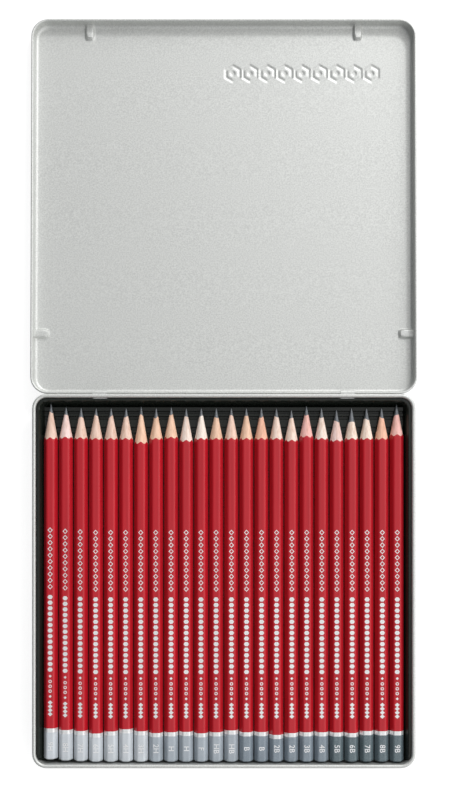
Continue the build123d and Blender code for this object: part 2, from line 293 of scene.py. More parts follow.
class Finishes(PropertyGroup):
    """Colours of the finishes."""

    tinplate: colour("Tinplate", "Satin lacquer on the tinplate", (0.70, 0.71, 0.69))
    tray: colour("Tray", "Black plastic of the tray", (0.009, 0.0115, 0.009))
    lacquer: colour("Lacquer", "Red lacquer of the pencils", (0.53, 0.010, 0.021))
    graphite: colour("Graphite", "Polished lead", (0.16, 0.17, 0.185))
    foil: colour("Foil", "Silver foil", (0.93, 0.93, 0.94))
    grain: colour("Grain", "Dark grain in the wood", (0.60, 0.33, 0.20))
    pores: colour("Pores", "Pores in the wood", (0.42, 0.23, 0.14))
    powder: colour("Powder", "Metal powder in the enamel", (0.9, 0.92, 0.94))
    runs: colour("Runs", "Shade where the enamel ran thick", (0.05, 0.06, 0.07))
    wood_tan: colour("Tan wood", "Sharpened wood, tan", (0.89, 0.65, 0.54))
    wood_pink: colour("Pink wood", "Sharpened wood, pink", (1.0, 0.75, 0.71))
    wood_orange: colour("Orange wood", "Sharpened wood, orange", (0.94, 0.63, 0.46))
    wood_cream: colour("Cream wood", "Sharpened wood, cream", (1.0, 0.85, 0.76))
    wood_rust: colour("Rust wood", "Sharpened wood, rust", (1.0, 0.57, 0.41))
    # Light tan and rose are lighter than the wood. They are painted light on the later pencils, making up
    # for the shade on the seen side of their points.
    wood_light: colour("Light tan wood", "Sharpened wood, light tan", (1.0, 0.80, 0.69))
    wood_rose: colour("Rose wood", "Sharpened wood, rose", (1.0, 0.57, 0.52))
    dip_hard: colour("Hard dip", "Dipped end of the hard pencils", (0.64, 0.68, 0.72))
    dip_middle: colour("Middle dip", "Dipped end of the middle pencils", (0.39, 0.44, 0.49))
    dip_soft: colour("Soft dip", "Dipped end of the soft pencils", (0.21, 0.26, 0.31))
    dip_softest: colour("Softest dip", "Dipped end of the softest pencils", (0.080, 0.125, 0.145))


class StageSettings(PropertyGroup):
    """Camera and light."""

    camera_height: length("Camera height", "From the rim of the pan to the camera", 600.0)
    field: length("Field", "Height of the picture at the rim of the pan", 393.1)
    centre_x: length("Centre across", "Middle of the picture across, at the rim", 1.85)
    centre_y: length("Centre along", "Middle of the picture along, at the rim", -4.62)
    shift: number("Shift", "Shift of the lens towards the lid", 0.12)
    room: number("Room light", "Strength of the room's light", 1.42)
    window: number("Window", "Power of the lamp in watts", 21.0)
    window_size: length("Window size", "Width of the lamp", 450.0)
    window_place: FloatVectorProperty(
        name="Window place", description="Place of the lamp", default=(1.19, 1.95, 1.94), unit="LENGTH"
    )
    floor_half: length("Floor half", "Half the width of the floor", 4000.0)
    floor_glow: number("Floor glow", "White added to the floor where it is seen", 0.82)


class TinSettings(PropertyGroup):
    """Everything that a user may change."""

    tin: PointerProperty(type=TinSizes)
    tray: PointerProperty(type=TraySizes)
    pencil: PointerProperty(type=PencilSizes)
    finish: PointerProperty(type=Finishes)
    stage: PointerProperty(type=StageSettings)


# Meshes from grids of points.


def grid_quads(rows, columns, start):
    """Corner numbers of the quads between neighbours in a grid that is stored row by row."""
    index = start + np.arange(rows * columns).reshape(rows, columns)
    corners = (index[:-1, :-1], index[:-1, 1:], index[1:, 1:], index[1:, :-1])
    return np.stack(corners, axis=-1).reshape(-1, 4)


def make_piece(name, patches, material, body, nodes=(), tone=None):
    """One piece from patches of points, each rows by columns by 3, welded where they meet.

    A patch may come with a mask that says which of its quads are kept.
    """
    points, quads, start = [], [], 0
    for patch in patches:
        grid, keep = patch if isinstance(patch, tuple) else (patch, None)
        faces = grid_quads(*grid.shape[:2], start)
        quads.append(faces if keep is None else faces[keep.ravel()])
        points.append(grid.reshape(-1, 3))
        start += len(points[-1])
    mesh = bpy.data.meshes.new(name)
    mesh.from_pydata(np.concatenate(points), [], np.concatenate(quads))
    edit = bmesh.new()
    edit.from_mesh(mesh)
    bmesh.ops.remove_doubles(edit, verts=edit.verts, dist=WELD)
    bmesh.ops.recalc_face_normals(edit, faces=edit.faces)
    edit.to_mesh(mesh)
    edit.free()
    return finish_piece(name, mesh, material, body, nodes, tone)


def finish_piece(name, mesh, material, body, nodes=(), tone=None):
    """Shading, material, tone, body and slot of a mesh that is already in its place."""
    mesh.polygons.foreach_set("use_smooth", np.ones(len(mesh.polygons), bool))
    mesh.set_sharp_from_angle(angle=CREASE)
    mesh.materials.append(material)
    if tone is not None:
        layer = mesh.attributes.new("tone", "FLOAT_COLOR", "POINT")
        layer.data.foreach_set("color", np.tile([*tone, 1.0], len(mesh.vertices)))
    mesh.update()
    piece = bpy.data.objects.new(name, mesh)
    bpy.context.scene.collection.objects.link(piece)
    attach(piece, body)
    if nodes:
        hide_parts(*nodes)
    return piece


def arc(centre, radius, start, end, count):
    """Points on a circle round the centre, evenly from one angle to the other, in degrees."""
    turn = np.radians(np.linspace(start, end, count))
    return np.stack([centre[0] + radius * np.cos(turn), centre[1] + radius * np.sin(turn)], axis=-1)


def smooth(value):
    """0 below 0, 1 above 1, and 3t² - 2t³ between."""
    t = np.clip(value, 0, 1)
    return t * t * (3 - 2 * t)


def spread(marks, step):
    """Every mark, and between two marks enough even places that none is further than a step."""
    marks = np.unique(np.round(np.asarray(marks), 9))
    runs = [
        np.linspace(low, high, max(2, math.ceil((high - low) / step - 1e-6) + 1))[:-1]
        for low, high in zip(marks[:-1], marks[1:])
    ]
    return np.concatenate([*runs, marks[-1:]])


# A rounded rectangle as a grid, and the rings round it.


class Outline:
    """A rounded rectangle about the origin, filled by columns and rows.

    Columns keep their x on the straight part. Beyond it they close in with the corner's circle:
    x = s + (c - s) e / r, where s is the straight half width, c the column, r the corner radius and
    e what the circle leaves of it at that row.
    """

    def __init__(self, half_width, half_length, corner, inset, columns, rows):
        self.corner = corner
        self.radius = corner - inset
        self.straight = np.array([half_width - corner, half_length - corner])
        turn = np.sin(np.linspace(0, math.pi / 2, ROUND_STEPS))[1:] * self.radius
        across, along = (
            np.concatenate([[-half], lines[np.abs(lines) < half - WELD], [half]])
            for lines, half in zip((columns, rows), self.straight)
        )
        self.inner = across
        self.columns, self.rows = (
            np.concatenate([-(half + turn)[::-1], lines, half + turn])
            for lines, half in zip((across, along), self.straight)
        )

    def floor(self):
        """x and y of the grid inside the inset edge."""
        over = np.maximum(np.abs(self.rows) - self.straight[1], 0)
        left = np.sqrt(np.maximum(self.radius**2 - over**2, 0)) / self.radius
        beyond = np.maximum(np.abs(self.columns) - self.straight[0], 0)
        within = np.clip(self.columns, -self.straight[0], self.straight[0])
        x = within[None, :] + np.sign(self.columns)[None, :] * beyond[None, :] * left[:, None]
        y = np.broadcast_to(self.rows[:, None], x.shape)
        return x, y

    def edge(self):
        """Anchor and outward direction of each point round the edge, counter-clockwise and closed."""
        low, high = -self.straight[1], self.straight[1]
        anchor_y = np.clip(self.rows, low, high)
        up = np.clip((self.rows - anchor_y) / self.radius, -1, 1)
        out = np.sqrt(1 - up**2)
        ones, zeros = np.ones_like(self.inner), np.zeros_like(self.inner)
        side = np.full_like(anchor_y, self.straight[0])
        bottom = np.stack([self.inner, low * ones, zeros, -ones], axis=-1)
        right = np.stack([side, anchor_y, out, up], axis=-1)[1:-1]
        top = np.stack([self.inner, high * ones, zeros, ones], axis=-1)[::-1]
        left = np.stack([-side, anchor_y, -out, up], axis=-1)[1:-1][::-1]
        loop = np.concatenate([bottom, right, top, left, bottom[:1]])
        return loop[:, :2], loop[:, 2:]

    def rings(self, profile):
        """Points round the edge by points of the profile: each profile point is n out and z up."""
        anchor, outward = self.edge()
        reach = self.corner + profile[:, 0]
        across = anchor[:, None, :] + outward[:, None, :] * reach[None, :, None]
        height = np.broadcast_to(profile[:, 1], across.shape[:2])
        return np.concatenate([across, height[..., None]], axis=-1)


def drawn_profile(tin, depth, bead, window):
    """Section of a drawn wall with its edge rolled outward: n from the outer face, z from the floor.

    It runs from the flat underneath, round the bend, up the outer face, round the bead and down the
    inner face to the flat inside. The two heights of the window stand on both faces. It returns the
    points and the places of those heights, outside and inside.
    """
    sheet, bend = tin.sheet, tin.bend
    centre = (bead - sheet, depth)
    meet = math.degrees(math.acos((sheet - bead) / bead))
    outer_bend = arc((-bend, bend), bend, -90, 0, ROUND_STEPS)
    roll = arc(centre, bead, -meet, 180, ROLL_STEPS)
    inner_bend = arc((-bend, bend), bend - sheet, 0, -90, ROUND_STEPS)
    outside = [(0, height) for height in window]
    inside = [(-sheet, height) for height in reversed(window)]
    first = len(outer_bend)
    second = first + len(outside) + len(roll)
    points = np.concatenate([outer_bend, outside, roll, inside, inner_bend])
    return points, (first, first + 1), (second + 1, second)


def drawn_shell(outline, profile, outer_rows, inner_rows, windows, relief, sheet):
    """Patches of a drawn box: floor from below, walls and rim, floor from above, holes in the wall.

    relief(x, y, z, inside) gives the pressed height of each point.
    """
    x, y = outline.floor()
    below = np.stack([x, y, relief(x, y, np.zeros_like(x), False)], axis=-1)
    above = np.stack([x, y, relief(x, y, np.full_like(x, sheet), True)], axis=-1)
    rings = outline.rings(profile)
    half = profile.shape[0] // 2
    for part, inside in ((slice(0, half), False), (slice(half, None), True)):
        view = rings[:, part]
        view[..., 2] = relief(view[..., 0], view[..., 1], view[..., 2], inside)
    keep = np.ones((rings.shape[0] - 1, rings.shape[1] - 1), bool)
    anchor, outward = outline.edge()
    patches = [below, above]
    for low, high in windows:
        between = (anchor[:, 0] > low - WELD) & (anchor[:, 0] < high + WELD)
        first, last = np.flatnonzero((outward[:, 1] > 0.5) & between)[[0, -1]]
        for row in (outer_rows[0], inner_rows[1]):
            keep[first:last, row] = False
        for outer, inner in zip(outer_rows, inner_rows):
            patches.append(np.stack([rings[first : last + 1, outer], rings[first : last + 1, inner]]))
        for column in (first, last):
            patches.append(np.stack([rings[column, list(outer_rows)], rings[column, list(inner_rows)]]))
    patches.append((rings, keep))
    return patches


def moved(patches, change):
    """The same patches with the change made to their points."""
    result = []
    for patch in patches:
        grid, keep = patch if isinstance(patch, tuple) else (patch, None)
        result.append((change(grid), keep))
    return result


# Materials.


def new_material(name, **settings):
    """A material whose shader has the given plain settings."""
    material = bpy.data.materials.new(name)
    material.use_nodes = True
    tree = material.node_tree
    shader = tree.nodes["Principled BSDF"]
    for key, value in settings.items():
        shader.inputs[key.replace("_", " ")].default_value = value
    return material, tree, shader


def add_node(tree, kind, inputs=(), **settings):
    """A node of that kind, its inputs given as (socket, value or link) pairs."""
    node = tree.nodes.new("ShaderNode" + kind)
    for key, value in settings.items():
        setattr(node, key, value)
    for key, value in inputs:
        if isinstance(value, bpy.types.NodeSocket):
            tree.links.new(value, node.inputs[key])
        else:
            node.inputs[key].default_value = value
    return node


def noise(tree, scale, detail=2.0, stretch=(1, 1, 1), roughness=0.5):
    """Noise on object coordinates, with that many features a metre, drawn out where stretch is low."""
    place = add_node(tree, "TexCoord").outputs["Object"]
    placed = add_node(tree, "Mapping", [("Vector", place), ("Scale", stretch)]).outputs["Vector"]
    inputs = [("Vector", placed), ("Scale", scale), ("Detail", detail), ("Roughness", roughness)]
    return add_node(tree, "TexNoise", inputs).outputs["Fac"]


def ranged(tree, value, low, high, start=0.3, end=0.7, kind="LINEAR"):
    """The value between start and end, carried over to low and high."""
    inputs = [("Value", value), ("From Min", start), ("From Max", end), ("To Min", low), ("To Max", high)]
    return add_node(tree, "MapRange", inputs, interpolation_type=kind).outputs["Result"]


def blended(tree, factor, first, second):
    """A colour between the first and the second; sockets 0, 6, 7 and out 2 are those for colours."""
    return add_node(tree, "Mix", [(0, factor), (6, first), (7, second)], data_type="RGBA").outputs[2]


def math_node(tree, operation, *values):
    """The result of that operation on the values."""
    return add_node(tree, "Math", enumerate(values), operation=operation).outputs[0]


def scaled(value, amount):
    """A colour with its brightness multiplied, and opaque."""
    return (*(min(channel * amount, 1) for channel in value), 1)


def varied(tree, factor, value, low, high):
    """A colour whose brightness runs between two shares with the factor."""
    return blended(tree, factor, scaled(value, low), scaled(value, high))


def drive(tree, shader, **values):
    """Links each value to the shader's input of that name."""
    for key, value in values.items():
        tree.links.new(value, shader.inputs[key.replace("_", " ")])


def bump(tree, shader, height, depth, strength):
    """Surface relief from a height, with the given depth in millimetres."""
    inputs = [("Height", height), ("Distance", depth * MM), ("Strength", strength)]
    drive(tree, shader, Normal=add_node(tree, "Bump", inputs).outputs["Normal"])


def tinplate_material(finish):
    """Satin silver lacquer with fine metal flakes, a little cloudy over a hand's width."""
    material, tree, shader = new_material("satin_tinplate", Metallic=0.6, IOR=1.5)
    flakes = noise(tree, 1450, 2, roughness=0.8)
    clouds = noise(tree, 14, 2)
    grain = varied(tree, ranged(tree, flakes, 0, 1, start=0.35, end=0.65), finish.tinplate, 0.86, 1.14)
    worn = blended(tree, ranged(tree, clouds, 0, 0.3), grain, scaled(finish.tinplate, 0.96))
    drive(tree, shader, Base_Color=worn, Roughness=ranged(tree, clouds, 0.42, 0.47))
    bump(tree, shader, flakes, depth=0.01, strength=0.25)
    return material


def tray_material(finish):
    """Black thermoformed plastic with a soft gloss and a faint pull in its surface."""
    material, tree, shader = new_material("black_plastic", IOR=1.42)
    pull = noise(tree, 90, 2, stretch=(1, 0.25, 1))
    dust = noise(tree, 1500, 2)
    dusty = varied(tree, ranged(tree, dust, 0, 1), finish.tray, 0.8, 1.6)
    drive(tree, shader, Base_Color=dusty, Roughness=ranged(tree, pull, 0.2, 0.3))
    bump(tree, shader, pull, depth=0.08, strength=0.6)
    return material


def lacquer_material(finish):
    """Red lacquer under a clear coat, slightly streaked along the pencil."""
    material, tree, shader = new_material("red_lacquer", Coat_Weight=0.2, Coat_Roughness=0.1, IOR=1.42)
    streaks = noise(tree, 700, 2, stretch=(1, 0.03, 1))
    patches = noise(tree, 60, 1, stretch=(1, 0.4, 1))
    red = varied(tree, ranged(tree, streaks, 0, 1), finish.lacquer, 0.9, 1.08)
    red = blended(tree, ranged(tree, patches, 0, 0.25), red, scaled(finish.lacquer, 0.82))
    drive(tree, shader, Base_Color=red, Roughness=ranged(tree, patches, 0.32, 0.42))
    bump(tree, shader, noise(tree, 500, 2, stretch=(1, 0.3, 1)), depth=0.02, strength=0.5)
    return material


def tone_of(tree):
    """The piece's own colour, kept with its points."""
    return add_node(tree, "Attribute", attribute_name="tone").outputs["Color"]


def wood_material(finish):
    """Sharpened wood: grain along the pencil, pores, and faint marks of the blade round the point."""
    material, tree, shader = new_material("bare_wood", Roughness=0.62, IOR=1.45)
    tone = tone_of(tree)
    rings = noise(tree, 850, 2, stretch=(1, 0.05, 1), roughness=0.6)
    pores = noise(tree, 2400, 2, stretch=(1, 0.08, 1))
    ringed = ranged(tree, rings, 0, 0.42, start=0.45, end=0.65)
    pitted = ranged(tree, pores, 0, 0.35, start=0.55, end=0.75)
    darker = blended(tree, ringed, tone, scaled(finish.grain, 1))
    drive(tree, shader, Base_Color=blended(tree, pitted, darker, scaled(finish.pores, 1)))
    bump(tree, shader, noise(tree, 3000, 1, stretch=(0.02, 1, 0.02)), depth=0.04, strength=0.6)
    return material


def graphite_material(finish):
    """Graphite polished by the blade, with fine rings round the point."""
    material, tree, shader = new_material("polished_lead", Metallic=0.2, IOR=1.6)
    rings = noise(tree, 3200, 2, stretch=(0.05, 1, 0.05))
    grey = varied(tree, ranged(tree, rings, 0, 1), finish.graphite, 0.8, 1.25)
    drive(tree, shader, Base_Color=grey, Roughness=ranged(tree, rings, 0.34, 0.46))
    bump(tree, shader, rings, depth=0.03, strength=0.6)
    return material


def foil_material(finish):
    """Hot-stamped silver foil, slightly broken over the grain of the wood."""
    material, tree, shader = new_material("silver_foil", Metallic=0.45, IOR=1.5)
    breaks = noise(tree, 1800, 3, stretch=(1, 0.4, 1), roughness=0.7)
    silver = varied(tree, ranged(tree, breaks, 0, 1), finish.foil, 0.86, 1.1)
    drive(tree, shader, Base_Color=silver, Roughness=ranged(tree, breaks, 0.28, 0.42))
    return material


def dip_material(finish):
    """Grey enamel of a dipped end, with a faint mottle of metal powder."""
    material, tree, shader = new_material(
        "grey_enamel", Coat_Weight=0.35, Coat_Roughness=0.15, Roughness=0.4, IOR=1.5
    )
    powder = noise(tree, 2400, 2)
    runs = noise(tree, 180, 1, stretch=(1, 0.5, 1))
    light = blended(tree, ranged(tree, powder, 0, 0.12), tone_of(tree), scaled(finish.powder, 1))
    shaded = blended(tree, ranged(tree, runs, 0, 0.14), light, scaled(finish.runs, 1))
    drive(tree, shader, Base_Color=shaded)
    bump(tree, shader, powder, depth=0.01, strength=0.4)
    return material


def material_for(name):
    """The material of that finish, made the first time that it is asked for."""
    if name in bpy.data.materials:
        return bpy.data.materials[name]
    makers = {
        "satin_tinplate": tinplate_material,
        "black_plastic": tray_material,
        "red_lacquer": lacquer_material,
        "bare_wood": wood_material,
        "polished_lead": graphite_material,
        "silver_foil": foil_material,
        "grey_enamel": dip_material,
    }
    return makers[name](bpy.context.scene.pencil_tin.finish)


# Stage.


class TIN_OT_stage(Operator):
    """Camera straight above the open tin, pale floor, half-dark room and a soft lamp"""

    bl_idname = "pencil_tin.stage"
    bl_label = "Stage"

    def execute(self, context):
        stage = context.scene.pencil_tin.stage
        context.scene.view_settings.view_transform = "Standard"
        self.make_camera(context, stage)
        self.make_floor(context, stage)
        self.make_room(context, stage)
        self.make_lamp(context, stage)
        return {"FINISHED"}

    def make_camera(self, context, stage):
        """The lens shows the field at the rim; the shift lets the camera stand over the pan."""
        data = bpy.data.cameras.new("camera")
        data.lens = data.sensor_width * stage.camera_height / stage.field
        data.shift_y = stage.shift
        data.clip_start = 0.01
        camera = bpy.data.objects.new("camera", data)
        along = stage.centre_y - stage.shift * stage.field
        camera.location = (stage.centre_x, along, PAN_HIGH.z + stage.camera_height)
        context.scene.collection.objects.link(camera)
        context.scene.camera = camera

    def seen(self, tree):
        """1 for what the camera sees, itself or in gloss or glass, and 0 for light on its way."""
        path = add_node(tree, "LightPath").outputs
        first = math_node(tree, "MAXIMUM", path["Is Camera Ray"], path["Is Glossy Ray"])
        return math_node(tree, "MAXIMUM", first, path["Is Transmission Ray"])

    def make_floor(self, context, stage):
        """Pale table: its own shading, with some white added where it is seen."""
        half = stage.floor_half
        mesh = bpy.data.meshes.new("floor")
        corners = [(-half, -half, 0), (half, -half, 0), (half, half, 0), (-half, half, 0)]
        mesh.from_pydata(corners, [], [(0, 1, 2, 3)])
        floor = bpy.data.objects.new("floor", mesh)
        context.scene.collection.objects.link(floor)
        material, tree, shader = new_material(
            "floor", Roughness=0.9, Specular_IOR_Level=0.1, Emission_Color=(1, 1, 1, 1)
        )
        mottle = ranged(tree, noise(tree, 30, 2), 0, 1)
        paper = blended(tree, mottle, (0.34, 0.34, 0.34, 1), (0.36, 0.36, 0.36, 1))
        glow = math_node(tree, "MULTIPLY", self.seen(tree), stage.floor_glow)
        drive(tree, shader, Base_Color=paper, Emission_Strength=glow)
        mesh.materials.append(material)
        floor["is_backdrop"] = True

    def make_room(self, context, stage):
        """Room that is pale on the right and behind the lid, and dark on the left, in front and low down.

        Brightness runs with X, a little of Y and more of Y behind the lid, and with the height. The
        camera itself sees plain white.
        """
        world = bpy.data.worlds.new("room")
        world.use_nodes = True
        context.scene.world = world
        tree = world.node_tree
        direction = add_node(tree, "TexCoord").outputs["Generated"]
        parts = add_node(tree, "SeparateXYZ", [("Vector", direction)]).outputs
        across = math_node(tree, "MULTIPLY_ADD", parts["Y"], 0.12, parts["X"])
        behind = ranged(tree, parts["Y"], 0, 0.7, start=0.45, end=0.9)
        across = math_node(tree, "ADD", across, behind)
        side = ranged(tree, across, 0, 1, start=-0.8, end=0.9, kind="SMOOTHSTEP")
        pale = blended(tree, side, (0.05, 0.055, 0.06, 1), (1, 1, 1, 1))
        lift = ranged(tree, parts["Z"], 0.3, 1, start=0, end=0.45, kind="SMOOTHSTEP")
        camera = add_node(tree, "LightPath").outputs["Is Camera Ray"]
        shown = ranged(tree, camera, math_node(tree, "MULTIPLY", lift, stage.room), 1, start=0, end=1)
        colour_shown = blended(tree, camera, pale, (1, 1, 1, 1))
        drive(tree, tree.nodes["Background"], Color=colour_shown, Strength=shown)

    def make_lamp(self, context, stage):
        """Square lamp that faces the middle of the tin."""
        data = bpy.data.lights.new("window", "AREA")
        data.energy = stage.window
        data.size = stage.window_size
        lamp = bpy.data.objects.new("window", data)
        lamp.location = stage.window_place
        lamp.rotation_mode = "QUATERNION"
        lamp.rotation_quaternion = lamp.location.to_track_quat("Z", "Y")
        context.scene.collection.objects.link(lamp)


# Tinplate.


class TIN_OT_pan(Operator):
    """Drawn pan with its rolled rim, the windows in its rear wall and the two hinge tabs"""

    bl_idname = "pencil_tin.pan"
    bl_label = "Pan"

    def execute(self, context):
        tin = context.scene.pencil_tin.tin
        bead = tin.pan_rim / 2
        overhang = tin.pan_rim - tin.sheet
        rear = HINGE_Y - tin.lid_clearance - tin.lid_curl / 2
        half_width = PAN_HIGH.x - overhang
        half_length = (rear - PAN_LOW.y) / 2 - overhang
        centre = (rear + PAN_LOW.y) / 2
        top = HINGE_Z + tin.lid_curl / 2 + tin.tab_clearance
        window = (top - tin.pan_window, top)
        profile, outer, inner = drawn_profile(tin, PAN_HIGH.z - bead, bead, window)
        windows = [
            (side * tin.tab_offset - tin.tab_width / 2, side * tin.tab_offset + tin.tab_width / 2)
            for side in (-1, 1)
        ]
        columns = spread([-half_width, half_width, *np.ravel(windows)], PAN_STEP)
        rows = spread([-half_length, half_length], PAN_STEP)
        outline = Outline(half_width, half_length, tin.pan_corner - overhang, tin.bend, columns, rows)
        shell = drawn_shell(outline, profile, outer, inner, windows, lambda x, y, z, inside: z, tin.sheet)
        shell = moved(shell, lambda grid: grid + [0, centre, 0])
        leaf = HINGE_Y - rear + overhang + tin.sheet
        for side in (-1, 1):
            shell += self.tab_patches(tin, side * tin.tab_offset, leaf)
        make_piece("pan_shell", shell, material_for("satin_tinplate"), "base", ["base_pan"])
        return {"FINISHED"}

    def tab_patches(self, tin, x, leaf):
        """Tab as a strip carried along its leaf and then round the hinge axis."""
        inner = tin.lid_curl / 2 + tin.tab_clearance
        faces = [
            np.concatenate([[(-leaf, radius)], arc((0, 0), radius, 90, 90 - tin.tab_turn, HOOK_STEPS)])
            for radius in (inner, inner + tin.tab_sheet)
        ]
        low, high = x - tin.tab_width / 2, x + tin.tab_width / 2
        corners = ((faces[0], low), (faces[1], low), (faces[1], high), (faces[0], high), (faces[0], low))
        grid = np.stack(
            [
                np.stack([np.full(len(face), side), HINGE_Y + face[:, 0], HINGE_Z + face[:, 1]], axis=-1)
                for face, side in corners
            ]
        )
        ends = [np.stack([grid[[0, 1], end], grid[[3, 2], end]]) for end in (0, -1)]
        return [grid, *ends]


class TIN_OT_lid(Operator):
    """Drawn lid with its curled edge, four pressed stops and an embossed border of hexagons"""

    bl_idname = "pencil_tin.lid"
    bl_label = "Lid"

    def execute(self, context):
        tin = context.scene.pencil_tin.tin
        bead = tin.lid_curl / 2
        rear = HINGE_Y - bead
        front = PAN_LOW.y - tin.lid_clearance
        half_width = PAN_HIGH.x + tin.lid_clearance + tin.sheet
        half_length = (rear - front) / 2 + tin.sheet
        corner = tin.pan_corner + tin.lid_clearance + tin.sheet
        centre = (rear + front) / 2
        window = (tin.lid_depth - tin.lid_window, tin.lid_depth - tin.lid_window_under)
        profile, outer, inner = drawn_profile(tin, tin.lid_depth, bead, window)
        half_window = tin.tab_width / 2 + tin.lid_window_gap
        windows = [
            (side * tin.tab_offset - half_window, side * tin.tab_offset + half_window) for side in (-1, 1)
        ]
        self.prepare(tin, half_width, half_length)
        across, along = (share * tin.motif_size for share in MOTIF_REACH)
        across += tin.motif_pitch * (tin.motif_count - 1) / 2
        columns = self.fine_lines(
            half_width, np.ravel(windows), [-tin.stop_offset, tin.stop_offset],
            (self.motif[0] - across, self.motif[0] + across),
        )
        rows = self.fine_lines(
            half_length, [], [half_length - tin.sheet - tin.stop_from_hinge],
            (self.motif[1] - along, self.motif[1] + along),
        )
        outline = Outline(half_width, half_length, corner, tin.bend, columns, rows)
        shell = drawn_shell(outline, profile, outer, inner, windows, self.relief, tin.sheet)
        shell = moved(shell, lambda grid: self.opened(grid, centre, tin.lid_depth))
        make_piece("lid_shell", shell, material_for("satin_tinplate"), "lid", ["lid"])
        return {"FINISHED"}

    def prepare(self, tin, half_width, half_length):
        """Roots of the stops, the way each points in, and the middle of the embossed border."""
        self.tin = tin
        wall_x, wall_y = half_width - tin.sheet, half_length - tin.sheet
        side_y = wall_y - tin.stop_from_hinge
        self.stops = [
            ((-tin.stop_offset, -wall_y), (0, 1)),
            ((tin.stop_offset, -wall_y), (0, 1)),
            ((-wall_x, side_y), (1, 0)),
            ((wall_x, side_y), (-1, 0)),
        ]
        self.motif = (tin.motif_x, -half_length + tin.motif_edge)

    def fine_lines(self, half, marks, stops, motif):
        """Grid lines, close together at the stops and the border and wide elsewhere."""
        root = half - self.tin.stop_reach - STOP_PAST
        beside = self.tin.stop_width / 2 + STOP_BESIDE
        near = np.add.outer(stops, [-beside, beside]).ravel()
        around = np.arange(-STOP_SPAN, STOP_SPAN + STOP_STEP / 2, STOP_STEP)
        walls = np.arange(root, half, WALL_STEP)
        lines = [
            spread([-half, half, *marks, *near, -root, root, *motif], LID_STEP),
            np.add.outer(stops, around).ravel(),
            walls,
            -walls,
            np.arange(*motif, MOTIF_STEP),
        ]
        return np.unique(np.round(np.concatenate(lines), 7))

    def stop_height(self, x, y, inset):
        """Pressed tongue: its height follows the distance in from a half-round outline."""
        tin = self.tin
        result = np.zeros_like(x)
        radius = tin.stop_width / 2 - inset
        straight = tin.stop_reach - tin.stop_width / 2
        for (root_x, root_y), (in_x, in_y) in self.stops:
            inward = (x - root_x) * in_x + (y - root_y) * in_y
            aside = (x - root_x) * in_y - (y - root_y) * in_x
            depth = radius - np.hypot(np.maximum(inward - straight, 0), aside)
            rise = smooth(depth / tin.stop_slope)
            if inset:
                rise = rise * smooth((inward - tin.sheet / 2) / tin.stop_slope)
            result = np.maximum(result, rise * (tin.stop_height - inset))
        return result

    def motif_height(self, x, y):
        """Border of hexagons, each a ring with a dot, as a row of pencils seen from the end."""
        tin = self.tin
        result = np.zeros_like(x)
        along = np.abs(y - self.motif[1])
        for order in range(tin.motif_count):
            across = np.abs(x - self.motif[0] - (order - (tin.motif_count - 1) / 2) * tin.motif_pitch)
            hexagon = np.maximum(across, 0.5 * across + math.sqrt(0.75) * along)
            ring = tin.motif_stroke / 2 - np.abs(hexagon - tin.motif_size / 2 + tin.motif_stroke / 2)
            dot = tin.motif_dot - np.hypot(across, along)
            result = np.maximum(result, smooth(np.maximum(ring, dot) / tin.motif_soft + 0.5))
        return result * tin.motif_depth

    def relief(self, x, y, z, inside):
        """Stops raise the sheet to their height; the border sinks it away from the pencils."""
        stop = self.stop_height(x, y, 0 if inside else self.tin.sheet)
        return np.maximum(z, stop) - self.motif_height(x, y)

    def opened(self, grid, centre, depth):
        """From the drawn lid, floor down, to its closed place, and then turned open about the hinge."""
        y = grid[..., 1] + centre - HINGE_Y
        z = depth - grid[..., 2]
        turned_y = y * math.cos(OPEN_TURN) - z * math.sin(OPEN_TURN)
        turned_z = y * math.sin(OPEN_TURN) + z * math.cos(OPEN_TURN)
        return np.stack([grid[..., 0], HINGE_Y + turned_y, HINGE_Z + turned_z], axis=-1)


